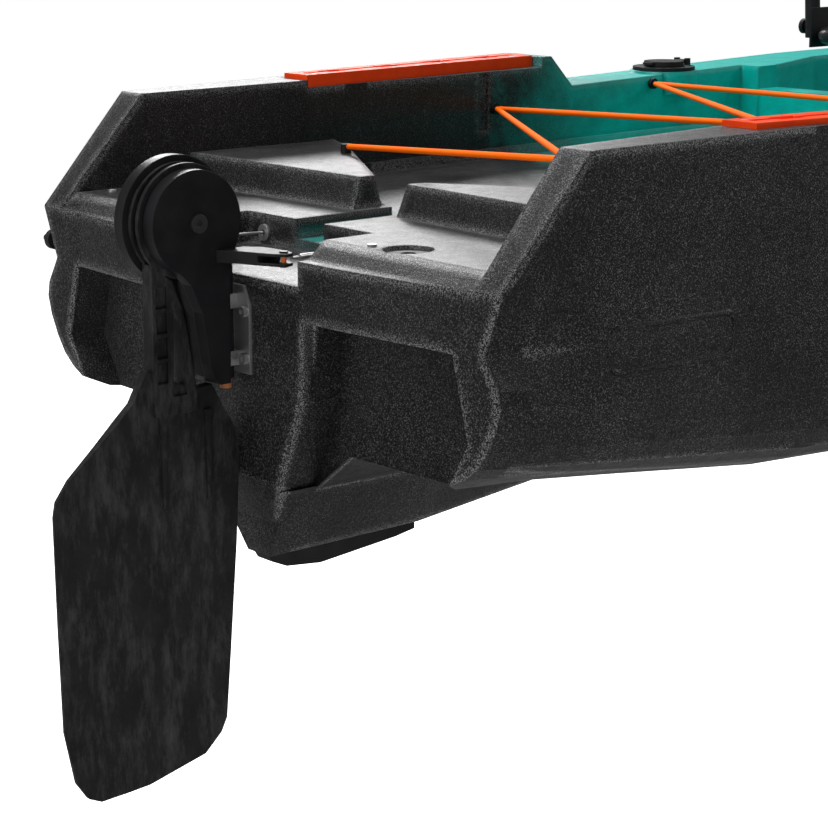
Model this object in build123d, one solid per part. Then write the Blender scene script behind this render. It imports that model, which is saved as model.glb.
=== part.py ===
"""Sit-on-top pedal fishing kayak with a kick-up rudder, millimetres.

Dimensions below are laid out from the stern: X forward from the stern crease, Y to port, Z up from
that crease. Every node is moved by SHIFT on export, so that the library frame has its origin on the
flat of the keel at mid length.
"""

from build123d import *
import math
import os

# ---------------------------------------------------------------- driving dimensions
LENGTH = 3645.0            # overall hull length
KEEL_Z = -285.0            # flat of the keel amidships, below the stern crease
SHIFT = Location((-1830.0, 0.0, -KEEL_Z))
WALL = 7.0                 # moulded wall

DECK_Z = 17.0              # stern platforms
BOX_Z = 49.0               # raised shoulders forward of them
WELL_Z = 5.0               # tank-well floor
COCKPIT_Z = -120.0         # cockpit floor
RIDGE_Z = 60.0             # cross ridge behind the seat
CONSOLE_Z = -40.0          # top of the drive console
BAY_X = 80.0               # aft-facing wall of the steering bay
RAIL_Z0, RAIL_Z1 = 111.0, 125.0

STEER_X, STEER_R = -25.0, 4.0          # rudder hinge pin
KICK_X, KICK_Z = -72.0, 33.0           # kick-up pivot
SHEAVE_R, CHEEK_R, CHEEK_R_PORT = 55.0, 50.0, 61.0
FIT = 0.05                             # radial running clearance

DRIVE_X, DRIVE_TOP = 2300.0, 120.0     # crank axis, above the console
CRANK_LEN = 150.0
GEARCASE_Z = -520.0
PROP_X = 2180.0
TILT_X, TILT_Z = 2420.0, -15.0         # drive tilt axis

SEAT_X0, SEAT_X1, SEAT_Y = 1135.0, 1560.0, 225.0
SEAT_Z = 140.0
RECLINE_X, RECLINE_Z = 1120.0, 150.0

# Half sections of the hull, from the keel to the gunwale: x, then eight or nine (y, z) corners.
STATIONS = [
    (0, (18, -309), (60, -235), (110, -189), (277, -186), (329, -156), (359, -97), (338, -53),
     (360, 0), (359.5, 2)),
    (105, (18, -309), (60, -237), (130, -195), (285, -192), (345, -165), (370, -105), (366, -55),
     (369, -10), (362, 117)),
    (206, (18, -309), (61, -238), (137, -198), (290, -203), (352, -175), (377, -114), (375, -64),
     (378, -20), (368, 118)),
    (400, (20, -290), (62, -240), (150, -205), (300, -225), (365, -195), (388, -130), (390, -80),
     (392, -36), (381, 120)),
    (735, (22, -285), (65, -245), (160, -212), (315, -240), (390, -205), (418, -140), (424, -95),
     (428, -55), (412, 124)),
    (780, (22, -285), (65, -245), (160, -212), (318, -240), (393, -205), (422, -140), (428, -95),
     (432, -55), (416, 84)),
    (1300, (22, -285), (65, -248), (165, -215), (325, -245), (415, -205), (455, -140), (462, -95),
     (466, -55), (448, 93)),
    (1900, (22, -285), (65, -248), (165, -215), (325, -245), (417, -203), (458, -138), (466, -92),
     (470, -50), (452, 98)),
    (2500, (22, -285), (60, -245), (140, -210), (270, -235), (375, -190), (420, -125), (432, -80),
     (438, -35), (424, 106)),
    (3000, (18, -278), (45, -235), (90, -195), (165, -195), (245, -140), (290, -75), (308, -25),
     (316, 20), (308, 128)),
    (3400, (12, -215), (24, -180), (42, -145), (72, -115), (112, -60), (140, 0), (152, 45),
     (158, 85), (152, 158)),
    (LENGTH, (8, -70), (10, -45), (12, -25), (15, 0), (18, 30), (21, 65), (23, 92),
     (25, 118), (23, 176)),
]


# ---------------------------------------------------------------- helpers
def face(pts):
    return make_face(Polyline(*pts, close=True))


def both(pts):
    """A half outline in XY, closed by its mirror image across the centre plane."""
    return list(pts) + [(x, -y) for x, y in reversed(pts)]


def prism(pts, z0, z1, grow=0.0):
    """Upright prism over a plan outline, grown outwards and downwards by `grow`."""
    plan = face(pts)
    if grow:
        plan = offset(plan, amount=grow, kind=Kind.INTERSECTION)
    return extrude(Plane.XY.offset(z0 - grow) * plan, z1 - z0 + grow)


def slab(pts, y0, y1):
    """Plate between y0 and y1 over an outline given as (x, z)."""
    return extrude(Plane.XZ.offset(-y1) * face(pts), y1 - y0)


def rod(p, q, r, r2=None):
    a, b = Vector(*p), Vector(*q)
    base = Plane(origin=a, z_dir=(b - a).normalized())
    if r2 is None:
        return base * extrude(Circle(r), (b - a).length)
    return base * Pos(0, 0, (b - a).length / 2) * Cone(r, r2, (b - a).length)


def rod_y(x, z, r, y0, y1):
    return rod((x, y0, z), (x, y1, z), r)


def rod_z(x, y, r, z0, z1):
    return rod((x, y, z0), (x, y, z1), r)


def bent(points, r, radii):
    path = FilletPolyline(*points, radius=radii)
    first = Vector(*points[0])
    start = Plane(origin=first, z_dir=(Vector(*points[1]) - first).normalized())
    return sweep(start * Circle(r), path=path)


def block(x0, x1, y0, y1, z0, z1):
    return Pos((x0 + x1) / 2, (y0 + y1) / 2, (z0 + z1) / 2) * Box(x1 - x0, y1 - y0, z1 - z0)


def pair(solid):
    return solid + mirror(solid, Plane.XZ)


def section(x):
    for low, high in zip(STATIONS, STATIONS[1:]):
        if low[0] <= x <= high[0]:
            t = (x - low[0]) / (high[0] - low[0])
            return [(a[0] + (b[0] - a[0]) * t, a[1] + (b[1] - a[1]) * t)
                    for a, b in zip(low[1:], high[1:])]
    raise ValueError(x)


def ring(x, half):
    pts = [(x, y, z) for y, z in half] + [(x, -y, z) for y, z in reversed(half)]
    return make_face(Polyline(*pts, close=True))


def softened(half, first=3, last=6, steps=3):
    """Extra points on a smooth curve through the corners between the chine and the crease."""
    out = list(half[:first])
    for i in range(first, last):
        a, b = Vector(*half[i]), Vector(*half[i + 1])
        before = Vector(*half[i - 1]) if i > first else a - (b - a)
        after = Vector(*half[i + 2]) if i + 1 < last else b + (b - a)
        for k in range(steps):
            t = k / steps
            m0, m1 = (b - before) * 0.5, (after - a) * 0.5
            p = a * (2 * t**3 - 3 * t**2 + 1) + m0 * (t**3 - 2 * t**2 + t)
            p += b * (3 * t**2 - 2 * t**3) + m1 * (t**3 - t**2)
            out.append((p.X, p.Y))
    return out + list(half[last:])


def put(node, shape):
    solids = [SHIFT * solid for solid in shape.solids()]
    export_step(Compound(children=solids) if len(solids) > 1 else solids[0], f"parts/{node}.step")


# ---------------------------------------------------------------- hull
PLATFORM = [(20, 327), (326, 312), (735, 335), (780, 342), (1130, 362)]
TANK = [(205, 34), (352, 246), (395, 308.9), (735, 330), (1120, 350)]
RIDGE = [(1125, 330), (1175, 330)]
BAY = [(-60, 99), (15, 98), (79, 98), (BAY_X, 22)]
CHANNEL = [(BAY_X - 1, 22), (212, 22)]
COCKPIT = [(1170, 330), (1300, 372), (1900, 378), (2500, 352), (2860, 245), (2900, 150)]
SLOT = [(2140, 62), (2475, 62)]
HATCH = [(3015, 150), (3300, 92)]
COAMING = [(2985, 190), (3345, 122)]
RECESS = [(-40, 60), (34, 60), (34, 303), (6, 318), (-40, 340)]
TRACK_PAD = [(1740, 392), (1740, 438), (2360, 422), (2360, 376)]
TRACK_Z, HOLDER_Z, STEER_BASE_Z = 112, 90, 104
HANDLE_X = (3440, 3545)
DRAINS = (700, 1060)
RAIL = [(326, 314), (326, 357), (718, 404), (718, 352)]
RAIL_SCREWS = ((345, 325), (515, 341), (690, 359))
SPLIT_X = 1150.0           # under the cross ridge, where the shell is divided for the library
WELL_SPLIT_X = 400.0
STERN_PLAN = [(20, 327), (326, 312), (735, 335), (780, 342), (1130, 362), (1130, 330), (1170, 330)]


def half_wells(grow=0.0):
    """Everything scooped out of the deck; grown by the wall where it bounds the inner void."""
    cut = prism(both(PLATFORM), DECK_Z, 260, grow)
    cut += prism(both(TANK), WELL_Z, 260, grow)
    cut += prism(both(CHANNEL), -3, 260, grow)
    cut += prism(both(COCKPIT), COCKPIT_Z, 260, grow)
    cut += prism(both(RIDGE), RIDGE_Z, 260, grow)
    return cut


def bay(grow=0.0):
    ramp = slab([(BAY_X + grow, -13 - grow), (BAY_X + grow, 260), (-60, 260), (-60, -33 - grow),
                 (12, -20 - grow)], -200, 200)
    return prism(both(BAY), -90, 260, grow) & ramp


def recess(side):
    """Hollow under each stern quarter: its side walls lean, so it widens and then closes downwards."""
    rows = [(-230, 62, 250, 262, 285), (-135, 102, 303, 318, 340), (-57, 110, 283, 297, 320)]
    plans = []
    for z, a, b, c, d in rows:
        plan = [(-40, a), (34, a), (34, b), (6, c), (-40, d)]
        plans.append(Plane.XY.offset(z) * face([(x, side * y) for x, y in plan]))
    return loft(plans, ruled=True)


def shoulder(side):
    top = [(176, 36), (195, 38), (330, 246), (372, 330), (165, 330)]
    base = [(158, 33), (205, 34), (352, 246), (398, 330), (148, 330)]
    low = Plane.XY.offset(DECK_Z - 14) * face([(x, side * y) for x, y in base])
    high = Plane.XY.offset(BOX_Z) * face([(x, side * y) for x, y in top])
    return loft([low, high], ruled=True)


def console(grow=0.0):
    return prism(both([(2100, 95), (2515, 95)]), COCKPIT_Z - 1, CONSOLE_Z) if not grow else None


def hull():
    outer = loft([ring(s[0], softened(s[1:])) for s in STATIONS], ruled=True)
    outer += prism(both([(1, 300), (-10, 165), (-12, 100)]), -57, 0)
    post = [(-20, 105), (-189, 105), (-235, 59), (-272, 38), (-309, 18)]
    outer += loft([Plane.XY.offset(z) * face(both([(30, y), (-12, y)])) for z, y in reversed(post)],
                  ruled=True)
    outer -= slab([(-30, -222), (-12, -222), (5, -270), (12, -312), (12, -340), (-30, -340)], -140, 140)
    strip = slab([(-20, 0.0), (0, 0.0), (20, DECK_Z), (20, 260), (-20, 260)], -327, 327)
    xs = [45, 105, 206, 400, 735, 780, 1300, 1900, 2500, 3000, 3400, 3600]
    rings = []
    for x in xs:
        inset = []
        for i, (y, z) in enumerate(section(x)):
            dz = (WALL + 2, WALL + 2, WALL + 2, WALL + 2, 4, 0, 0, 0, -WALL - 2)[i]
            inset.append((max(y - WALL - 1.5, 3.0), z + dz))
        rings.append(ring(x, inset))
    void = loft(rings, ruled=True)
    void -= half_wells(WALL) - prism(both([(2092, 80), (2523, 80)]), COCKPIT_Z - 20, CONSOLE_Z - 7)
    void -= bay(WALL)
    void -= prism(both(SLOT), -400, 200, WALL)
    seats = [(321, 305), (321, 380), (723, 425), (723, 320)]
    void -= prism(seats, RAIL_Z0 - 8, 260) + prism([(x, -y) for x, y in seats], RAIL_Z0 - 8, 260)
    for side in (1, -1):
        void -= prism([(x, side * y) for x, y in RECESS], -200, -57, WALL)
        void -= rod_z(995, side * 383, 36, -190, 200)
        void -= rod_z(43, side * 192, 32, -2, 40)
        for x in DRAINS:
            void -= rod_z(x, side * 200, 21, -290, 60)
    body = outer - strip
    cut = half_wells()
    for side in (1, -1):
        cut -= shoulder(side)
    cut -= console()
    body -= cut
    body -= bay()
    body += prism(both(COAMING), 110, 165)
    for side in (1, -1):
        body += prism([(x, side * y) for x, y in TRACK_PAD], 70, TRACK_Z)
        body += rod_z(995, side * 383, 46, 60, HOLDER_Z)
    body += rod_z(1650, 412, 36, 60, STEER_BASE_Z)
    for x in HANDLE_X:
        body += rod_z(x, 0, 18, 120, 184)
    body -= prism(both(HATCH), 90, 200)
    body -= void
    body -= prism(both(SLOT), -400, 200)
    for side in (1, -1):
        body -= recess(side)
        body -= prism([(x, side * y) for x, y in
                       [(325.5, 300), (325.5, 357.5), (718.5, 404.5), (718.5, 320)]], RAIL_Z0, 200)
        body -= rod_z(995, side * 383, 25.1, -170, 200)
        body -= rod_z(43, side * 192, 24, DECK_Z - 6, 60)
        body -= rod_z(43, side * 192, 9, DECK_Z - 16, 60)
        body -= rod((BAY_X - 1, side * 69, -2), (BAY_X + 30, side * 69, -2), 3.2)
        body -= prism([(604, side * 300), (604, side * 331.5), (622, side * 332.5), (622, side * 300)],
                      40, 109)
        for x in DRAINS:
            body -= rod_z(x, side * 200, 14, -290, 60)
    return body


def hull_nodes(body):
    """The one moulding, divided along its well walls so that each piece keeps its wells open."""
    stern = prism(both(STERN_PLAN), -400, 300)
    cockpit = prism(both(COCKPIT), -400, 300)
    shell = body - stern - cockpit
    floor = body & stern
    return {"hull_stern_shell": shell & block(-100, SPLIT_X, -600, 600, -400, 300),
            "hull_bow_shell": shell & block(SPLIT_X, 3800, -600, 600, -400, 300),
            "hull_stern_deck": floor & block(-100, WELL_SPLIT_X, -600, 600, -400, 300),
            "hull_tank_well": floor & block(WELL_SPLIT_X, 1300, -600, 600, -400, 300),
            "hull_cockpit_floor": body & cockpit}


def skid_plate():
    return slab([(14, -309), (19, -317), (37, -325), (80, -330), (180, -322), (206, -318), (206, -309)],
                -12, 12)


def drain_plug():
    plug = rod((22, 373, -40), (22, 381, -40), 11) + rod((22, 381, -40), (22, 394, -40), 8, 4)
    return plug


# ---------------------------------------------------------------- deck fittings
def gear_rail():
    rail = prism(RAIL, RAIL_Z0, RAIL_Z1)
    a, b = Vector(326, 335.5), Vector(718, 378)
    u = (b - a).normalized()
    n = Vector(-u.Y, u.X)

    def strip(s0, s1, half):
        p = [a + u * s0 + n * half, a + u * s1 + n * half, a + u * s1 - n * half, a + u * s0 - n * half]
        return [(v.X, v.Y) for v in p]

    rail -= prism(strip(14, 382, 4.5), RAIL_Z1 - 9, RAIL_Z1 + 1)
    rail -= prism(strip(10, 386, 8.5), RAIL_Z1 - 9, RAIL_Z1 - 5)
    for s in (60, 150, 240, 330):
        rail -= prism(strip(s - 16, s + 16, 9), RAIL_Z1 - 5, RAIL_Z1 + 1)
    for x, y in RAIL_SCREWS:
        rail -= rod_z(x, y, 5, RAIL_Z1 - 2.4, RAIL_Z1 + 1)
    return rail


def rail_screws():
    heads = []
    for side in (1, -1):
        for x, y in RAIL_SCREWS:
            heads.append(rod_z(x, side * y, 4.2, RAIL_Z1 - 2.4, RAIL_Z1 - 0.3))
    return Compound(children=heads)


def deck_screws():
    spots = [(30, 156), (30, -156), (52, 306), (52, -306)]
    heads = []
    for x, y in spots:
        heads.append(rod_z(x, y, 4.5, DECK_Z, DECK_Z + 2.2) - rod_z(x, y, 1.6, DECK_Z + 1, DECK_Z + 3))
    return Compound(children=heads)


def scupper_strainers():
    cups = []
    for side in (1, -1):
        disc = rod_z(43, side * 192, 23.5, DECK_Z - 6, DECK_Z - 3.5)
        disc -= rod_z(43, side * 192, 7, DECK_Z - 8, DECK_Z)
        cups.append(disc)
    return Compound(children=cups)


BUNGEE = [(292, 203, 56), (122, -316, 104), (629, 321, 66), (402, -308, 114), (936, 344, 77),
          (640, -322, 116)]
BUNGEE_R = 3.2


def bungee():
    runs = []
    for p, q in zip(BUNGEE, BUNGEE[1:]):
        a, b = Vector(*p), Vector(*q)
        u = (b - a).normalized()
        runs.append(rod(tuple(a + u * 9), tuple(b - u * 9), BUNGEE_R))
    return Compound(children=runs)


def bungee_hooks():
    hooks = []
    for x, y, z in BUNGEE[1:]:
        wall = 1 if y > 0 else -1
        hooks.append(rod((x, y, z), (x, y + wall * 5, z), 7) + rod((x, y - wall * 3, z), (x, y, z), 4))
    hooks.append(rod_z(292, 203, 6, BOX_Z, BOX_Z + 10))
    return Compound(children=hooks)


def rod_holder(side):
    x, y = 995, side * 383
    tube = rod_z(x, y, 25, -165, HOLDER_Z) + rod_z(x, y, 42, HOLDER_Z, HOLDER_Z + 5)
    tube -= rod_z(x, y, 22, -160, 120)
    tube += block(x + 33, x + 40, y - 12, y - 7, HOLDER_Z + 5, HOLDER_Z + 14)
    tube += block(x + 33, x + 40, y + 7, y + 12, HOLDER_Z + 5, HOLDER_Z + 14)
    return tube + rod_y(x + 36.5, HOLDER_Z + 9.5, 1.5, y - 12, y + 12)


def rod_cap(side):
    x, y = 995, side * 383
    cap = rod_z(x, y, 27, HOLDER_Z + 5.4, HOLDER_Z + 12)
    cap += block(x + 20, x + 36.5, y - 6.6, y + 6.6, HOLDER_Z + 6.5, HOLDER_Z + 12)
    cap += rod_y(x + 36.5, HOLDER_Z + 9.5, 3.0, y - 6.6, y + 6.6)
    cap -= rod_y(x + 36.5, HOLDER_Z + 9.5, 1.55, y - 8, y + 8)
    return cap + block(x - 33, x - 25, y - 8, y + 8, HOLDER_Z + 8, HOLDER_Z + 11)


def gunwale_track(side):
    a = [(1745, 400), (1745, 430), (2355, 414), (2355, 384)]
    groove = [(1740, 411), (1740, 419), (2362, 403), (2362, 395)]
    under = [(1740, 407), (1740, 423), (2362, 407), (2362, 391)]
    bar = prism([(x, side * y) for x, y in a], TRACK_Z, TRACK_Z + 12)
    bar -= prism([(x, side * y) for x, y in groove], TRACK_Z + 3, TRACK_Z + 13)
    return bar - prism([(x, side * y) for x, y in under], TRACK_Z + 3, TRACK_Z + 8)


def bow_handle():
    x0, x1 = HANDLE_X
    grip = bent([(x0, 0, 184), (x0, 0, 222), (x1, 0, 222), (x1, 0, 184)], 9, 22)
    return grip + rod_z(x0, 0, 15, 184, 189) + rod_z(x1, 0, 15, 184, 189)


# ---------------------------------------------------------------- bow hatch
HINGE_X, HINGE_Z = 2974.0, 174.0


def hatch_hinge():
    lugs = []
    for side in (1, -1):
        y0, y1 = sorted((side * 50, side * 78))
        lug = block(HINGE_X - 7, 2992, y0, y1, 165, HINGE_Z) + rod_y(HINGE_X, HINGE_Z, 7, y0, y1)
        lug -= block(2985, 3000, y0 - 1, y1 + 1, 160, 180)
        lug += block(2976, 2985, y0, y1, 160, 165.0) - block(2976, 2986, y0 - 1, y1 + 1, 150, 165)
        p0, p1 = sorted((side * 78, side * 106))
        lugs.append(lug + rod_y(HINGE_X, HINGE_Z, 3, p0, p1))
    return Compound(children=lugs)


def hatch_lid():
    lid = prism(both([(2990, 186), (3342, 119)]), 165.5, 176)
    lid += prism(both([(3010, 166), (3322, 103)]), 176, 183)
    lid += prism(both([(3021, 141), (3294, 86)]), 158, 165.5)
    for side in (1, -1):
        y0, y1 = sorted((side * 78.6, side * 104))
        lid += block(HINGE_X, 2992, y0, y1, 170, 178) + rod_y(HINGE_X, HINGE_Z, 7, y0, y1)
        lid -= rod_y(HINGE_X, HINGE_Z, 3 + FIT, side * 92 - 20, side * 92 + 20)
    return lid


# ---------------------------------------------------------------- rudder
PLATE_X = -15.0
KNUCKLES = ((-56, -42), (-112, -98))


def transom_bracket():
    leaf = [(26, -52), (26, -119), (-26, -119), (-26, -52), (-17, -33), (17, -33)]
    plate = extrude(Plane.YZ.offset(PLATE_X) * face(leaf), 3)
    for y, z in ((-19.5, -58), (-19.5, -104), (19.5, -58), (19.5, -104)):
        plate -= rod((PLATE_X - 1, y, z), (PLATE_X + 4, y, z), 3.3)
    for z in (-58, -104):
        for y in (11, -11):
            plate -= rod((PLATE_X - 1, y, z), (PLATE_X + 4, y, z), 2.2)
    for z0, z1 in KNUCKLES:
        plate += rod_z(STEER_X, 0, 8, z0, z1) + block(STEER_X, PLATE_X, -8, 8, z0, z1)
        plate -= rod_z(STEER_X, 0, STEER_R, z0 - 1, z1 + 1)
    return plate


def bracket_bolts():
    heads = []
    for y in (19.5, -19.5):
        for z in (-58, -104):
            head = rod((PLATE_X - 5, y, z), (PLATE_X, y, z), 5.5)
            head += rod((PLATE_X, y, z), (PLATE_X + 3, y, z), 3.2)
            heads.append(head - rod((PLATE_X - 6, y, z), (PLATE_X - 3, y, z), 2.4))
    return Compound(children=heads)


def hinge_pin():
    return rod_z(STEER_X, 0, STEER_R, -132, -13)


def pin_caps():
    low = rod_z(STEER_X, 0, 6, -134, -125.5) - rod_z(STEER_X, 0, STEER_R, -132, -120)
    return low


def clear_sheave(solid):
    return solid - rod_y(KICK_X, KICK_Z, SHEAVE_R + 1.0, -8.8, 8.8)


def head_core():
    core = slab([(-64, -60), (-56, -118), (-50, -124), (STEER_X, -124), (STEER_X, -14), (-60, -20),
                 (-76, -24)], -8.6, 8.6)
    core += rod_z(STEER_X, 0, 8.6, -124, -14)
    core -= rod_z(STEER_X, 0, STEER_R + FIT, -140, 0)
    for z0, z1 in KNUCKLES:
        core -= block(STEER_X - 9.5, 0, -12, 12, z0 - 0.5, z1 + 0.5)
        core -= rod_z(STEER_X, 0, 12.5, z0 - 0.5, z1 + 0.5)
    return clear_sheave(core)


def cheek(side):
    r = CHEEK_R if side < 0 else CHEEK_R_PORT
    y0, y1 = (-25.0, -8.8) if side < 0 else (8.8, 22.0)
    shape = [(-106, 2), (-80, -25), (-68, -53), (-60, -104), (-56, -119), (-49, -124), (-37, -124),
             (-36, -60), (-36, -20), (-24, 22)]
    out = rod_y(KICK_X, KICK_Z, r, y0, y1) + slab(shape, y0, y1)
    bolt = rod_y(KICK_X, KICK_Z, 5, -30, 30)
    return out - bolt


def tiller_arm():
    arms = []
    for side in (1, -1):
        root = 25.0 if side < 0 else 22.0
        plan = [(-52, root), (-20, root), (-7, 40), (-3, 74), (-8, 86), (-17, 88), (-24, 80), (-40, 44)]
        plan = [(x, side * y) for x, y in plan]
        arm = prism(plan, -6, 6)
        arm -= block(-60, 0, side * 77 - 14, side * 77 + 14, -3.2, 3.2)
        arm -= rod_z(-13, side * 79, 2.5, -10, 10)
        arms.append(arm)
    return Compound(children=arms)


def cable_pins():
    pins = []
    for side in (1, -1):
        pin = rod_z(-13, side * 79, 2.5, -7, 7)
        pins.append(pin + rod_z(-13, side * 79, 4.2, 6, 7.6) + rod_z(-13, side * 79, 4.2, -7.6, -6))
    return Compound(children=pins)


def pivot_bolt():
    bolt = rod_y(KICK_X, KICK_Z, 5, -25, 22) + rod_y(KICK_X, KICK_Z, 9, -29, -25)
    bolt += rod_y(KICK_X, KICK_Z, 9.5, 22, 27)
    return bolt - rod_y(KICK_X, KICK_Z, 3, -30, -27)


def cable(side):
    run = rod((-2.5, side * 78.8, 0), (104, side * 68.2, -2.4), 1.4)
    return run + rod((6, side * 78, -0.2), (24, side * 76.2, -0.5), 2.8)


def cable_eyelets():
    rings = []
    for side in (1, -1):
        x, y = BAY_X - 0.9, side * 70.8
        flange = rod((x - 3, y, -2), (x, y, -2), 8.5) - rod((x - 5, y, -2), (x + 1, y, -2), 3.0)
        rings.append(flange)
    return Compound(children=rings)


def rudder_blade():
    outline = [(-66, -129), (-45, -127), (-33, -150), (-18, -175), (-14, -198), (-19, -288), (-29, -404),
               (-35, -469), (-42, -483), (-62, -501), (-129, -516), (-184, -519), (-197, -513),
               (-210, -494), (-221, -440), (-223, -335), (-224, -228), (-221, -214), (-207, -196),
               (-174, -168), (-136, -134), (-119, -104)]
    blade = slab(outline, -5, 5)
    for side in (1, -1):
        wedge = [(-150, side * 5.1), (-240, side * 1.0), (-240, side * 7)]
        blade -= prism(wedge, -530, -100)
    post = slab([(-113, -4), (-113, -150), (-62, -150), (-67, -115), (-76, -62), (-90, -22)], -8, 8)
    for z in (-36, -60, -84, -108):
        for side in (1, -1):
            post -= block(-109, -97, min(side * 5, side * 9), max(side * 5, side * 9), z - 10, z + 10)
    post -= slab([(-90, -48), (-91, -132), (-76, -132), (-83, -60)], -9, 9)
    sheave = rod_y(KICK_X, KICK_Z, SHEAVE_R, -8.3, 8.3)
    groove = rod_y(KICK_X, KICK_Z, SHEAVE_R + 2, -3.5, 3.5) - rod_y(KICK_X, KICK_Z, SHEAVE_R - 6, -4, 4)
    out = blade + post + (sheave - groove)
    for x in (-104, -52):
        rib = slab([(x - 4, -150), (x + 4, -150), (x + 2, -240), (x - 2, -240)], -8, 8)
        out += rib
    return out - rod_y(KICK_X, KICK_Z, 5 + FIT, -20, 20)


# ---------------------------------------------------------------- seat
def seat_tracks():
    strips = [block(1180, 1730, s * 225 - 16, s * 225 + 16, COCKPIT_Z, COCKPIT_Z + 8) for s in (1, -1)]
    return Compound(children=strips)


def seat_base():
    y = 205
    loop = bent([(1300, y, SEAT_Z), (1560, y, SEAT_Z), (1560, -y, SEAT_Z), (1300, -y, SEAT_Z)], 11, 45)
    loop += bent([(1300, y, SEAT_Z), (1098, y, SEAT_Z), (1098, -y, SEAT_Z), (1300, -y, SEAT_Z)], 11, 30)
    for x in (1215, 1510):
        for s in (1, -1):
            loop += rod((x, s * 205, SEAT_Z), (x, s * 225, COCKPIT_Z + 14), 9)
    return loop


def seat_feet():
    feet = []
    for x in (1215, 1510):
        for s in (1, -1):
            foot = block(x - 28, x + 28, s * 225 - 15, s * 225 + 15, COCKPIT_Z + 8.4, COCKPIT_Z + 30)
            feet.append(foot - rod((x, s * 205, SEAT_Z), (x, s * 225, COCKPIT_Z + 14), 9))
    return Compound(children=feet)


def seat_sling():
    return block(1136, 1512, -186, 186, SEAT_Z - 8, SEAT_Z + 10)


def recline_clamps():
    ears = []
    for s in (1, -1):
        y0, y1 = sorted((s * 216.2, s * 219.4))
        ear = block(1100, 1142, y0, y1, SEAT_Z - 16, RECLINE_Z + 26)
        pin0, pin1 = sorted((s * 219.4, s * 244))
        head0, head1 = sorted((s * 241.2, s * 247))
        ear += rod_y(RECLINE_X, RECLINE_Z, 5, pin0, pin1) + rod_y(RECLINE_X, RECLINE_Z, 10, head0, head1)
        ears.append(ear)
    return Compound(children=ears)


def seat_back():
    lean = 90.0
    pts = [(RECLINE_X, 230, RECLINE_Z - 14), (RECLINE_X - 8, 230, 250), (RECLINE_X - lean, 226, 560),
           (RECLINE_X - lean - 6, -226, 560), (RECLINE_X - 8, -230, 250), (RECLINE_X, -230, RECLINE_Z - 14)]
    tube = bent(pts, 10, [200, 45, 45, 200])
    return tube - rod_y(RECLINE_X, RECLINE_Z, 5 + FIT, -260, 260)


def back_sling():
    lean = math.atan2(82, 310)
    pad = Box(22, 396, 290)
    return Pos(RECLINE_X - 48, 0, 402) * Rot(0, -math.degrees(lean), 0) * pad


# ---------------------------------------------------------------- pedal drive
def drive_dock():
    plate = prism(both([(2112, 90), (2503, 90)]), CONSOLE_Z, CONSOLE_Z + 10)
    return plate - prism(both(SLOT), -100, 0)


def drive_housing():
    body = rod_y(DRIVE_X, DRIVE_TOP, 78, -58, 58) + block(2228, 2372, -56, 56, -20, DRIVE_TOP)
    body += prism(both([(2122, 84), (2492, 84)]), CONSOLE_Z + 10.3, CONSOLE_Z + 22)
    body -= rod_y(DRIVE_X, DRIVE_TOP, 66, -50, 50)
    body -= rod_y(DRIVE_X, DRIVE_TOP, 10 + FIT, -80, 80)
    body -= rod_z(DRIVE_X, 0, 6 + FIT, -60, 60)
    body -= rod_z(DRIVE_X, 0, 20, 30, 70)
    return body


def drive_leg():
    foil = [(2205, 0), (2235, 14), (2290, 18), (2340, 12), (2356, 0), (2340, -12), (2290, -18), (2235, -14)]
    leg = prism(foil, GEARCASE_Z + 10, CONSOLE_Z + 10.3)
    case = rod((2196, 0, GEARCASE_Z), (2356, 0, GEARCASE_Z), 30)
    case += rod((2356, 0, GEARCASE_Z), (2412, 0, GEARCASE_Z), 30, 8)
    leg += case + slab([(2235, GEARCASE_Z), (2330, GEARCASE_Z), (2310, GEARCASE_Z - 80),
                        (2270, GEARCASE_Z - 85)], -4, 4)
    leg -= rod_z(DRIVE_X, 0, 6 + FIT, GEARCASE_Z - 2, 0)
    leg -= rod((2180, 0, GEARCASE_Z), (2286, 0, GEARCASE_Z), 7 + FIT)
    return leg - block(2255, 2318, -17, 17, GEARCASE_Z - 17, GEARCASE_Z + 17)


def crank_axle():
    axle = rod_y(DRIVE_X, DRIVE_TOP, 10, -98, 98)
    gear = rod((DRIVE_X, -26, DRIVE_TOP), (DRIVE_X, -12, DRIVE_TOP), 52, 40)
    return axle + gear


def drive_shaft():
    shaft = rod_z(DRIVE_X, 0, 6, GEARCASE_Z + 14.5, 62)
    return shaft + rod((DRIVE_X, 0, 50), (DRIVE_X, 0, 60), 14, 10)


def prop_shaft():
    return rod((2150, 0, GEARCASE_Z), (2284, 0, GEARCASE_Z), 7) + \
        rod((2262, 0, GEARCASE_Z), (2274, 0, GEARCASE_Z), 15, 11)


def crank_arm(side):
    dx = side * CRANK_LEN
    y0, y1 = sorted((side * 98, side * 112))
    arm = rod_y(DRIVE_X, DRIVE_TOP, 18, y0, y1) + rod_y(DRIVE_X + dx, DRIVE_TOP, 14, y0, y1)
    arm += block(min(DRIVE_X, DRIVE_X + dx), max(DRIVE_X, DRIVE_X + dx), y0, y1,
                 DRIVE_TOP - 11, DRIVE_TOP + 11)
    pin0, pin1 = sorted((side * 112, side * 212))
    return arm + rod_y(DRIVE_X + dx, DRIVE_TOP, 6, pin0, pin1)


def pedal(side):
    cx = DRIVE_X + side * CRANK_LEN
    y0, y1 = sorted((side * 116, side * 214))
    body = block(cx - 48, cx + 48, y0, y1, DRIVE_TOP - 12, DRIVE_TOP + 12)
    w0, w1 = sorted((side * 128, side * 202))
    for a, b in ((-40, -14), (14, 40)):
        body -= block(cx + a, cx + b, w0, w1, DRIVE_TOP - 20, DRIVE_TOP + 20)
    return body - rod_y(cx, DRIVE_TOP, 6 + FIT, y0 - 2, y1 + 2)


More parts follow.
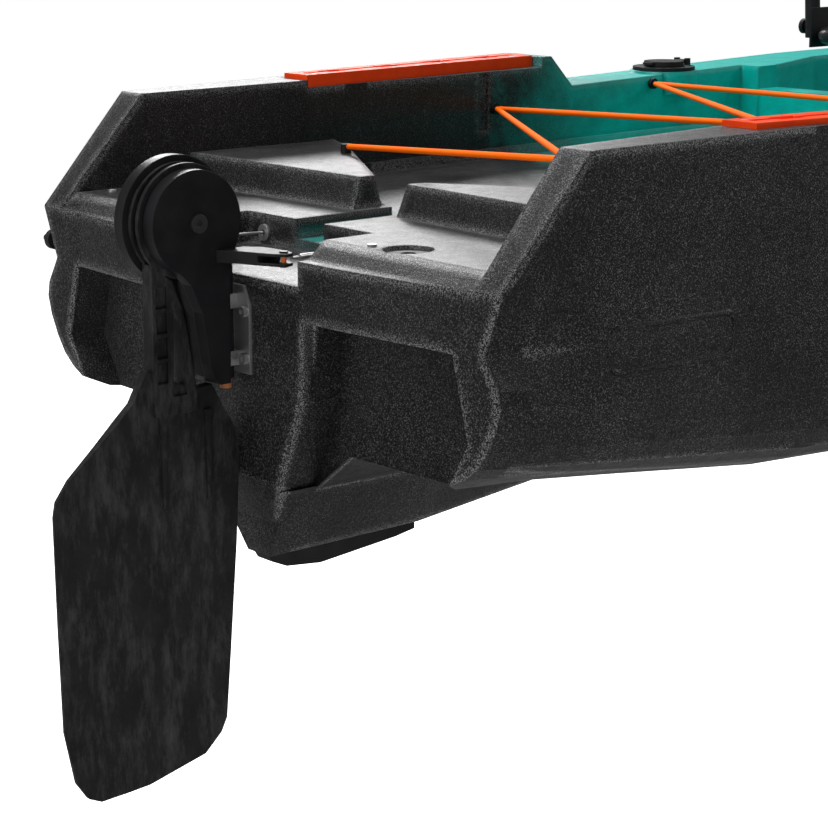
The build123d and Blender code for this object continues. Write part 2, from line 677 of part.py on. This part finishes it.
def propeller():
    hub = rod((2152, 0, GEARCASE_Z), (2192, 0, GEARCASE_Z), 22)
    hub += rod((2152, 0, GEARCASE_Z), (2143, 0, GEARCASE_Z), 22, 15)
    for s in (1, -1):
        blade = extrude(Plane.XZ * Pos(2172, GEARCASE_Z + s * 78) * Ellipse(26, 66), 5, both=False)
        blade = Pos(2172, 0, 0) * Rot(0, 0, s * 28) * Pos(-2172, 2.5, 0) * blade
        hub += blade
    return hub - rod((2150, 0, GEARCASE_Z), (2200, 0, GEARCASE_Z), 7)


# ---------------------------------------------------------------- cockpit fittings
def steering_base():
    return rod_z(1650, 412, 32, STEER_BASE_Z, STEER_BASE_Z + 8) + rod_z(1650, 412, 6, 112, 140)


def steering_handle():
    hub = rod_z(1650, 412, 20, STEER_BASE_Z + 8.4, 134)
    hub += prism([(1650, 400), (1650, 424), (1736, 419), (1736, 405)], 126, 134)
    hub -= rod_z(1650, 412, 6 + FIT, 100, 150)
    return hub + rod_z(1730, 412, 9, 134, 162) + Pos(1730, 412, 166) * Sphere(14)


def floor_hatch_ring():
    return rod_z(1905, 0, 92, COCKPIT_Z, COCKPIT_Z + 8) - rod_z(1905, 0, 75.05, -150, -90)


def floor_hatch_lid():
    lid = rod_z(1905, 0, 75, COCKPIT_Z + 0.3, COCKPIT_Z + 9)
    return lid + block(1850, 1960, -8, 8, COCKPIT_Z + 9, COCKPIT_Z + 18)


def foot_mats():
    mats = [block(1775, 2080, s * 205 - 85, s * 205 + 85, COCKPIT_Z, COCKPIT_Z + 5) for s in (1, -1)]
    return Compound(children=mats)


# ---------------------------------------------------------------- export
os.makedirs("parts", exist_ok=True)
rail = gear_rail()
for node, piece in hull_nodes(hull()).items():
    put(node, piece)
put("keel_skid_plate", skid_plate())
put("drain_plug", drain_plug())
put("gear_rail_port", rail)
put("gear_rail_starboard", mirror(rail, Plane.XZ))
put("rail_screws", rail_screws())
put("deck_screws", deck_screws())
put("scupper_strainers", scupper_strainers())
put("tank_bungee", bungee())
put("bungee_hooks", bungee_hooks())
put("bow_handle", bow_handle())
put("hatch_hinge", hatch_hinge())
put("hatch_lid", hatch_lid())
put("transom_bracket", transom_bracket())
put("bracket_bolts", bracket_bolts())
put("hinge_pin", hinge_pin())
put("hinge_pin_cap", pin_caps())
put("rudder_head_core", head_core())
put("rudder_head_starboard", cheek(-1))
put("rudder_head_port", cheek(1))
put("tiller_arm", tiller_arm())
put("cable_pins", cable_pins())
put("kick_up_pivot_bolt", pivot_bolt())
put("rudder_blade", rudder_blade())
put("cable_eyelets", cable_eyelets())
put("seat_tracks", seat_tracks())
put("seat_base_frame", seat_base())
put("seat_feet", seat_feet())
put("seat_sling", seat_sling())
put("recline_clamps", recline_clamps())
put("seat_back_frame", seat_back())
put("seat_back_sling", back_sling())
put("drive_dock", drive_dock())
put("drive_housing", drive_housing())
put("drive_leg", drive_leg())
put("crank_axle", crank_axle())
put("drive_shaft", drive_shaft())
put("prop_shaft", prop_shaft())
put("propeller", propeller())
put("steering_base", steering_base())
put("steering_handle", steering_handle())
put("floor_hatch_ring", floor_hatch_ring())
put("floor_hatch_lid", floor_hatch_lid())
put("foot_mats", foot_mats())
for end, side in (("port", 1), ("starboard", -1)):
    put("steering_cable_" + end, cable(side))
    put("rod_holder_" + end, rod_holder(side))
    put("rod_holder_cap_" + end, rod_cap(side))
    put("gunwale_track_" + end, gunwale_track(side))
    put("crank_arm_" + end, crank_arm(side))
    put("pedal_" + end, pedal(side))
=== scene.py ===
import bpy
import bmesh
import math
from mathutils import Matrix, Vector


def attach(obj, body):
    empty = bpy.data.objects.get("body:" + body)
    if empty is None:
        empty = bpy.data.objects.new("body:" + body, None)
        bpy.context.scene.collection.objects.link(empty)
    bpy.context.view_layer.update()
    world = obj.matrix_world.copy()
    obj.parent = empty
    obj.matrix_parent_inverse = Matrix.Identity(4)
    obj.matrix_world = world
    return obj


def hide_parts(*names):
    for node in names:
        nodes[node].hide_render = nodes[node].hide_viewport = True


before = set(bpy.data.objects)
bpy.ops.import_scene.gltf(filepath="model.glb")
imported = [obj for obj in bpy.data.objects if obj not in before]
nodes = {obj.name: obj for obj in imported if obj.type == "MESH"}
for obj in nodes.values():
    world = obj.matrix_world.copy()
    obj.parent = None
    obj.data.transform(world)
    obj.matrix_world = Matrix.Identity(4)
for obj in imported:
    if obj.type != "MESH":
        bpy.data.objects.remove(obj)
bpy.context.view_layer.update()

AFT, UP = -1.830, 0.285          # the stern crease in the frame of the part

# planes where one node of the moulding meets the next: under the ridge, across the tank well, at the deck
RIDGE_SEAM, WELL_SEAM, DECK_SEAM = -0.680, -1.430, -1.810
EDGE_RADIUS, EDGE_MASK_RADIUS = 0.011, 0.016
TEAL_START, TEAL_FULL = -1.17, -0.93
BADGE_X, BADGE_Z, BADGE_HALF_X, BADGE_HALF_Z, BADGE_R = -1.6295, 0.2235, 0.064, 0.008, 0.012

# view of the stern, in millimetres from the crease, and in degrees
EYE, YAW, PITCH = (-1276, -1725, 350), 49.15, 13.53
SENSOR, LENS = 36.0, 36.0 * 2250 / 828
FLOOR_Z = -0.60


def at(x, y, z):
    """Millimetres from the stern crease to metres in the part's frame."""
    return Vector((x / 1000 + AFT, y / 1000, z / 1000 + UP))


# ---------------------------------------------------------------- node helpers
class Mat:
    def __init__(self, name, rough=0.5, metal=0.0, spec=0.5, **sockets):
        self.mat = bpy.data.materials.new(name)
        self.mat.use_nodes = True
        self.tree = self.mat.node_tree
        self.bsdf = self.tree.nodes["Principled BSDF"]
        self.coord = self.tree.nodes.new("ShaderNodeTexCoord").outputs["Object"]
        self.bsdf.inputs["Roughness"].default_value = rough
        self.bsdf.inputs["Metallic"].default_value = metal
        self.bsdf.inputs["Specular IOR Level"].default_value = spec
        for key, value in sockets.items():
            self.bsdf.inputs[key.replace("_", " ")].default_value = value

    def new(self, kind, **inputs):
        node = self.tree.nodes.new(kind)
        for key, value in inputs.items():
            self.put(node.inputs[key.replace("_", " ")], value)
        return node

    def put(self, socket, value):
        if isinstance(value, bpy.types.NodeSocket):
            self.tree.links.new(value, socket)
        else:
            socket.default_value = value

    def noise(self, scale, detail=3.0, rough=0.5, vector=None):
        node = self.new("ShaderNodeTexNoise", Vector=vector or self.coord, Scale=scale, Detail=detail,
                        Roughness=rough)
        return node.outputs["Fac"]

    def ramp(self, fac, stops):
        node = self.new("ShaderNodeValToRGB", Fac=fac)
        ramp = node.color_ramp
        while len(ramp.elements) < len(stops):
            ramp.elements.new(0.5)
        for element, (pos, value) in zip(ramp.elements, stops):
            element.position = pos
            element.color = (value, value, value, 1) if isinstance(value, (int, float)) else (*value, 1)
        return node.outputs["Color"]

    def math(self, op, a, b=0.0, c=0.0, clamp=False):
        node = self.tree.nodes.new("ShaderNodeMath")
        node.operation, node.use_clamp = op, clamp
        for socket, value in zip(node.inputs, (a, b, c)):
            self.put(socket, value)
        return node.outputs[0]

    def mix(self, fac, a, b):
        node = self.tree.nodes.new("ShaderNodeMix")
        node.data_type = "RGBA"
        self.put(node.inputs["Factor"], fac)
        for socket, value in ((node.inputs[6], a), (node.inputs[7], b)):
            self.put(socket, value if isinstance(value, bpy.types.NodeSocket) else (*value, 1))
        return node.outputs[2]

    def xyz(self):
        node = self.new("ShaderNodeSeparateXYZ", Vector=self.coord)
        return node.outputs

    def bump(self, height, strength, distance, normal=None):
        node = self.new("ShaderNodeBump", Height=height, Strength=strength, Distance=distance)
        if normal is not None:
            self.put(node.inputs["Normal"], normal)
        return node.outputs["Normal"]

    def rounded(self, radius):
        return self.new("ShaderNodeBevel", Radius=radius).outputs["Normal"]

    def colour(self, value):
        self.put(self.bsdf.inputs["Base Color"], value)

    def normal(self, value):
        self.put(self.bsdf.inputs["Normal"], value)


def ramp_step(m, value, low, high):
    node = m.new("ShaderNodeMapRange", Value=value)
    node.clamp = True
    for key, v in (("From Min", low), ("From Max", high), ("To Min", 0.0), ("To Max", 1.0)):
        node.inputs[key].default_value = v
    return node.outputs["Result"]


def near(m, value, centre, low, high):
    """1 within `low` of a plane, 0 beyond `high`."""
    return ramp_step(m, m.math("ABSOLUTE", m.math("SUBTRACT", value, centre)), high, low)


def seams(m, x, z):
    """1 over the moulding, 0 where one of its nodes meets the next, so that no edge is rounded there."""
    joints = m.math("MAXIMUM", near(m, x, RIDGE_SEAM, 0.016, 0.018), near(m, x, WELL_SEAM, 0.016, 0.018))
    low = m.math("MULTIPLY", near(m, x, DECK_SEAM, 0.016, 0.018), ramp_step(m, z, 0.292, 0.288))
    return m.math("SUBTRACT", 1.0, m.math("MAXIMUM", joints, low))


def hull_material():
    m = Mat("hull_polyethylene", rough=0.5, spec=0.30)
    x, y, z = m.xyz()
    side = m.math("ABSOLUTE", y)
    fine = m.noise(820, 2.0, 0.6)
    flat = m.new("ShaderNodeNewGeometry").outputs["Normal"]
    facing = m.new("ShaderNodeSeparateXYZ", Vector=flat).outputs["Z"]
    # painted light: the grey speckles are stronger on faces turned up and fainter on the sides, as if lit
    # from above
    painted_top_light = m.math("MULTIPLY_ADD", ramp_step(m, facing, 0.2, 0.9), 0.55, 0.45)
    grain = m.noise(230, 3.0, 0.6)
    cloud = m.noise(9, 4.0, 0.6)
    streak = m.noise(32, 5.0, 0.7)
    speck_and_top_light = m.math("MULTIPLY", m.ramp(fine, [(0.54, 0.0), (0.64, 1.0)]),
                   m.math("MULTIPLY", m.ramp(cloud, [(0.30, 0.30), (0.70, 1.0)]), painted_top_light))
    black = m.mix(speck_and_top_light, (0.0028, 0.0028, 0.0032), (0.24, 0.243, 0.250))
    black = m.mix(m.ramp(cloud, [(0.40, 0.0), (0.80, 0.30)]), black, (0.014, 0.0145, 0.0155))
    teal = m.mix(m.ramp(streak, [(0.3, 0.0), (0.8, 1.0)]), (0.0, 0.34, 0.30), (0.0, 0.46, 0.40))
    wander = m.math("MULTIPLY", m.math("SUBTRACT", m.noise(5, 5.0, 0.75), 0.5), 0.50)
    along = m.math("ADD", x, wander)
    # the colour turns earlier inside the tank well than on the gunwale and the outer side
    inside = m.math("MULTIPLY", ramp_step(m, side, 0.352, 0.338), ramp_step(m, x, -1.46, -1.40))
    along = m.math("ADD", along, m.math("MULTIPLY", inside, 0.05))
    fade = ramp_step(m, along, TEAL_START, TEAL_FULL)
    grainy = m.math("MULTIPLY", m.math("SUBTRACT", fine, 0.5), 2.2)
    fade = m.math("ADD", fade, m.math("MULTIPLY", grainy, m.math("MULTIPLY", fade,
                  m.math("SUBTRACT", 1.0, fade))), clamp=True)
    inner = m.math("MULTIPLY", ramp_step(m, side, 0.026, 0.017),
                   m.math("MULTIPLY", ramp_step(m, x, -1.752, -1.742), ramp_step(m, z, 0.296, 0.290)))
    inner = m.math("MULTIPLY", m.math("MULTIPLY", inner, ramp_step(m, z, 0.262, 0.268)), 0.45)
    fade = m.math("MAXIMUM", fade, inner)
    bent = m.rounded(EDGE_RADIUS)
    # dust along the edges together with a painted edge highlight: bright grains wherever the rounding turns
    # the surface
    turn = m.tree.nodes.new("ShaderNodeVectorMath")
    turn.operation = "DOT_PRODUCT"
    m.put(turn.inputs[0], flat)
    m.put(turn.inputs[1], m.rounded(EDGE_MASK_RADIUS))
    edge = m.math("MULTIPLY", ramp_step(m, turn.outputs["Value"], 0.985, 0.92), seams(m, x, z))
    edge_dust_and_highlight = m.math("MULTIPLY", edge, m.ramp(fine, [(0.47, 0.0), (0.58, 0.75)]))
    black = m.mix(edge_dust_and_highlight, black, (0.30, 0.303, 0.31))
    m.colour(m.mix(fade, black, teal))
    rough = m.ramp(m.noise(70, 4.0, 0.6), [(0.25, 0.30), (0.8, 0.46)])
    m.put(m.bsdf.inputs["Roughness"], rough)
    # blank raised badge outline on each side of the stern
    u = m.math("ABSOLUTE", m.math("SUBTRACT", x, BADGE_X))
    v = m.math("ABSOLUTE", m.math("SUBTRACT", z, BADGE_Z))
    du = m.math("MAXIMUM", m.math("SUBTRACT", u, BADGE_HALF_X), 0.0)
    dv = m.math("MAXIMUM", m.math("SUBTRACT", v, BADGE_HALF_Z), 0.0)
    dist = m.math("SQRT", m.math("ADD", m.math("MULTIPLY", du, du), m.math("MULTIPLY", dv, dv)))
    ringed = m.math("SUBTRACT", 1.0, ramp_step(m, m.math("ABSOLUTE", m.math("SUBTRACT", dist, BADGE_R)),
                                               0.0012, 0.0030))
    badge = m.math("MULTIPLY", ringed, ramp_step(m, side, 0.335, 0.345))
    soft = m.tree.nodes.new("ShaderNodeMix")
    soft.data_type = "VECTOR"
    m.put(soft.inputs["Factor"], seams(m, x, z))
    m.put(soft.inputs[4], flat)
    m.put(soft.inputs[5], bent)
    height = m.math("ADD", m.math("MULTIPLY", grain, 0.55), m.math("MULTIPLY", fine, 0.45))
    normal = m.bump(height, 0.6, 0.0012, soft.outputs[1])
    m.normal(m.bump(badge, 1.0, 0.0030, normal))
    return m.mat


def plastic(name, colour, rough=0.42, grain=900, depth=0.0002, dust=0.0, edge=0.0015, spec=0.2):
    m = Mat(name, rough=rough, spec=spec)
    cloud = m.noise(26, 5.0, 0.65)
    lift = tuple(min(1.0, c * 1.4 + 0.003) for c in colour)
    base = m.mix(m.ramp(cloud, [(0.35, 0.0), (0.75, 1.0)]), colour, lift)
    if dust:
        drawn = m.new("ShaderNodeMapping", Vector=m.coord, Rotation=(0.0, -0.7, 0.0), Scale=(46, 20, 13))
        smear = m.ramp(m.noise(1.0, 9.0, 0.82, drawn.outputs["Vector"]), [(0.47, 0.0), (0.70, dust)])
        base = m.mix(smear, base, (0.16, 0.155, 0.15))
    m.colour(base)
    m.put(m.bsdf.inputs["Roughness"], m.ramp(m.noise(60, 3.0), [(0.2, max(rough - 0.1, 0.05)),
                                                            (0.8, min(rough + 0.12, 1.0))]))
    m.normal(m.bump(m.noise(grain, 2.0), 0.5, depth, m.rounded(edge)))
    return m.mat


def metal(name, colour, rough=0.28, scale=(30, 400, 400), edge=0.0006):
    m = Mat(name, rough=rough, metal=0.9)
    mapped = m.new("ShaderNodeMapping", Vector=m.coord, Scale=scale).outputs["Vector"]
    lines = m.noise(6, 5.0, 0.7, mapped)
    dark = tuple(c * 0.72 for c in colour)
    m.colour(m.mix(m.ramp(lines, [(0.3, 0.0), (0.7, 1.0)]), dark, colour))
    m.put(m.bsdf.inputs["Roughness"], m.ramp(lines, [(0.3, rough - 0.08), (0.75, rough + 0.14)]))
    m.normal(m.bump(lines, 0.25, 0.0001, m.rounded(edge)))
    return m.mat


def weave(name, colour, scale=420.0, sheen=0.3):
    m = Mat(name, rough=0.85, Sheen_Weight=sheen)
    x, y, z = m.xyz()
    s = math.tau * scale
    warp = m.math("SINE", m.math("MULTIPLY", m.math("ADD", x, z), s))
    weft = m.math("SINE", m.math("MULTIPLY", m.math("SUBTRACT", y, m.math("MULTIPLY", x, 0.35)), s))
    cloth = m.math("MULTIPLY_ADD", m.math("MULTIPLY", warp, weft), 0.5, 0.5)
    deep = tuple(c * 0.45 for c in colour)
    lit = tuple(min(1.0, c * 1.35 + 0.01) for c in colour)
    m.colour(m.mix(m.math("MULTIPLY", cloth, m.ramp(m.noise(40, 4.0), [(0.2, 0.6), (0.8, 1.0)])), deep, lit))
    m.normal(m.bump(cloth, 0.6, 0.0006))
    return m.mat


def clevis(name):
    """Copper between the two plates of the arm, black heads above and below."""
    m = Mat(name, rough=0.4, spec=0.3)
    z = m.xyz()["Z"]
    m.colour(m.mix(near(m, z, UP, 0.0032, 0.0034), (0.006, 0.006, 0.007), (0.62, 0.16, 0.04)))
    return m.mat


def cord(name):
    m = Mat(name, rough=0.8, spec=0.08)
    _, y, z = m.xyz()
    braid = m.math("SINE", m.math("MULTIPLY", m.math("ADD", y, m.math("MULTIPLY", z, 1.6)), 1300.0))
    braid = m.math("MULTIPLY_ADD", braid, 0.5, 0.5)
    m.colour(m.mix(m.math("MULTIPLY", braid, 0.55), (1.0, 0.17, 0.002), (0.82, 0.075, 0.001)))
    m.normal(m.bump(braid, 0.4, 0.0004))
    return m.mat


HULL = hull_material()
BLACK = plastic("satin_black_plastic", (0.006, 0.006, 0.007), rough=0.36)
BLADE = plastic("rudder_blade_plastic", (0.006, 0.006, 0.007), rough=0.44, grain=500, dust=0.20, edge=0.002)
DARK = plastic("black_moulding", (0.007, 0.007, 0.008), rough=0.5, grain=700)
RUBBER = plastic("black_rubber", (0.012, 0.012, 0.012), rough=0.75, grain=1200)
ORANGE = plastic("orange_rail_plastic", (0.86, 0.052, 0.003), rough=0.36, grain=1100, depth=0.00012,
                 edge=0.0018, spec=0.12)
STEEL = metal("stainless_plate", (0.66, 0.66, 0.67), rough=0.34)
GUNMETAL = metal("dark_socket_bolt", (0.10, 0.10, 0.105), rough=0.4)
ALLOY = metal("anodised_alloy", (0.66, 0.67, 0.69), rough=0.34)
TUBE = plastic("black_anodised_tube", (0.012, 0.012, 0.013), rough=0.3, grain=1500, depth=0.00005)
COPPER = plastic("copper_brown_end", (0.20, 0.07, 0.022), rough=0.42)
CLEVIS = clevis("clevis_pin")
CORD = cord("orange_shock_cord")
SLING = weave("black_mesh_sling", (0.035, 0.036, 0.038), scale=260.0)
FOAM = plastic("grey_foam_mat", (0.06, 0.062, 0.066), rough=0.9, grain=380, depth=0.0008)

finish = {
    "hull_stern_shell": HULL, "hull_bow_shell": HULL, "hull_stern_deck": HULL,
    "hull_tank_well": HULL, "hull_cockpit_floor": HULL, "keel_skid_plate": DARK, "drain_plug": RUBBER,
    "gear_rail_port": ORANGE,
    "gear_rail_starboard": ORANGE, "rail_screws": STEEL, "deck_screws": STEEL, "scupper_strainers": DARK,
    "tank_bungee": CORD, "bungee_hooks": DARK, "bow_handle": RUBBER, "hatch_hinge": DARK, "hatch_lid": DARK,
    "transom_bracket": STEEL, "bracket_bolts": STEEL, "hinge_pin": STEEL, "hinge_pin_cap": COPPER,
    "rudder_head_core": BLACK, "rudder_head_starboard": BLACK, "rudder_head_port": BLACK,
    "tiller_arm": BLACK, "cable_pins": CLEVIS, "kick_up_pivot_bolt": GUNMETAL, "rudder_blade": BLADE,
    "cable_eyelets": STEEL, "seat_tracks": ALLOY, "seat_base_frame": TUBE, "seat_feet": DARK,
    "seat_sling": SLING, "recline_clamps": DARK, "seat_back_frame": TUBE, "seat_back_sling": SLING,
    "drive_dock": DARK, "drive_housing": BLACK, "drive_leg": ALLOY, "crank_axle": STEEL,
    "drive_shaft": STEEL, "prop_shaft": STEEL, "propeller": BLACK, "steering_base": DARK,
    "steering_handle": BLACK, "floor_hatch_ring": DARK, "floor_hatch_lid": DARK, "foot_mats": FOAM,
}
for end in ("port", "starboard"):
    finish["steering_cable_" + end] = STEEL
    finish["rod_holder_" + end] = DARK
    finish["rod_holder_cap_" + end] = RUBBER
    finish["gunwale_track_" + end] = ALLOY
    finish["crank_arm_" + end] = ALLOY
    finish["pedal_" + end] = DARK
for name, obj in nodes.items():
    if not obj.material_slots:
        obj.data.materials.append(finish[name])
    for s in obj.material_slots:
        s.material = finish[name]


# ---------------------------------------------------------------- soft pieces
def sheet_mesh(name, corner, u, v, nu, nv, out, depth, thick, material):
    """A sling stretched over side tubes: a crowned grid with rolled, stitched side hems."""
    bm = bmesh.new()
    grid = []
    for j in range(nv + 1):
        row = []
        for i in range(nu + 1):
            a, b = i / nu, j / nv
            sag = -depth * (1 - (2 * a - 1) ** 4) * (1 - (2 * b - 1) ** 6)
            hem = 0.0022 * sum(math.exp(-((b - c) / 0.012) ** 2) for c in (0.06, 0.94))
            seam = -0.0016 * sum(math.exp(-((a - c) / 0.010) ** 2) for c in (0.34, 0.67))
            row.append(bm.verts.new(corner + u * a + v * b + out * (sag + hem + seam)))
        grid.append(row)
    for j in range(nv):
        for i in range(nu):
            bm.faces.new((grid[j][i], grid[j][i + 1], grid[j + 1][i + 1], grid[j + 1][i]))
    bmesh.ops.recalc_face_normals(bm, faces=bm.faces)
    mesh = bpy.data.meshes.new(name)
    bm.to_mesh(mesh)
    bm.free()
    for p in mesh.polygons:
        p.use_smooth = True
    obj = bpy.data.objects.new(name, mesh)
    bpy.context.scene.collection.objects.link(obj)
    solid = obj.modifiers.new("thickness", "SOLIDIFY")
    solid.thickness, solid.offset = thick, 0.0
    rounding = obj.modifiers.new("rounding", "BEVEL")
    rounding.width, rounding.segments, rounding.limit_method = thick * 0.4, 3, "ANGLE"
    obj.data.materials.append(material)
    return obj


base = sheet_mesh("seat_base_sling", at(1134, -187, 146), Vector((0.380, 0, 0)), Vector((0, 0.374, 0)),
                  60, 60, Vector((0, 0, 1)), 0.006, 0.007, SLING)
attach(base, "seat")
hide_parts("seat_sling")
foot, head = at(1110, -199, 262), at(1034, -199, 545)
rise = head - foot
out = Vector((rise.z, 0, -rise.x)).normalized()
back = sheet_mesh("seat_back_mesh_sling", foot, rise, Vector((0, 0.398, 0)), 60, 60, out, 0.008, 0.007, SLING)
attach(back, "seat_back")
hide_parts("seat_back_sling")


# ---------------------------------------------------------------- studio
def floor():
    bm = bmesh.new()
    bmesh.ops.create_grid(bm, x_segments=2, y_segments=2, size=60)
    mesh = bpy.data.meshes.new("floor")
    bm.to_mesh(mesh)
    bm.free()
    obj = bpy.data.objects.new("floor", mesh)
    obj.location = (0, 0, FLOOR_Z)
    bpy.context.scene.collection.objects.link(obj)
    m = Mat("pale_floor", rough=0.9, Emission_Color=(1, 1, 1, 1), Emission_Strength=0.80)
    m.colour(m.mix(m.noise(2, 2.0), (0.90, 0.90, 0.90), (0.93, 0.93, 0.93)))
    obj.data.materials.append(m.mat)
    obj.visible_glossy = False


def light(name, place, target, size, power, colour=(1, 1, 1)):
    data = bpy.data.lights.new(name, "AREA")
    data.shape, data.size, data.size_y = "RECTANGLE", size[0], size[1]
    data.energy, data.color = power, colour
    obj = bpy.data.objects.new(name, data)
    obj.location = place
    obj.rotation_euler = (Vector(target) - Vector(place)).to_track_quat("-Z", "Y").to_euler()
    bpy.context.scene.collection.objects.link(obj)


floor()
stern = at(100, 0, 0)
light("key_top", (-1.9, 0.6, 3.2), stern, (1.8, 1.2), 90)
light("starboard_soft", (-2.6, -3.2, 1.6), stern, (1.6, 0.9), 13)
light("port_back_rim", (0.4, 3.4, 2.2), stern, (2.0, 1.0), 105)
light("aft_fill", (-5.0, 0.4, 1.2), stern, (1.4, 1.0), 36)
light("bow_fill", (2.6, -1.5, 3.0), (1.0, 0, 0.3), (2.4, 2.0), 60)

world = bpy.data.worlds.new("studio")
world.use_nodes = True
world.node_tree.nodes["Background"].inputs["Color"].default_value = (1, 1, 1, 1)
world.node_tree.nodes["Background"].inputs["Strength"].default_value = 0.22
bpy.context.scene.world = world

cam = bpy.data.objects.new("camera", bpy.data.cameras.new("camera"))
cam.data.sensor_width = SENSOR
cam.data.lens = LENS
cam.location = at(*EYE)
yaw, pitch = math.radians(YAW), math.radians(PITCH)
ahead = Vector((math.cos(yaw) * math.cos(pitch), math.sin(yaw) * math.cos(pitch), -math.sin(pitch)))
cam.rotation_euler = ahead.to_track_quat("-Z", "Y").to_euler()
cam.data.clip_end = 200
bpy.context.scene.collection.objects.link(cam)
bpy.context.scene.camera = cam
bpy.context.scene.view_settings.view_transform = "Standard"
bpy.context.scene.view_settings.look = "None"
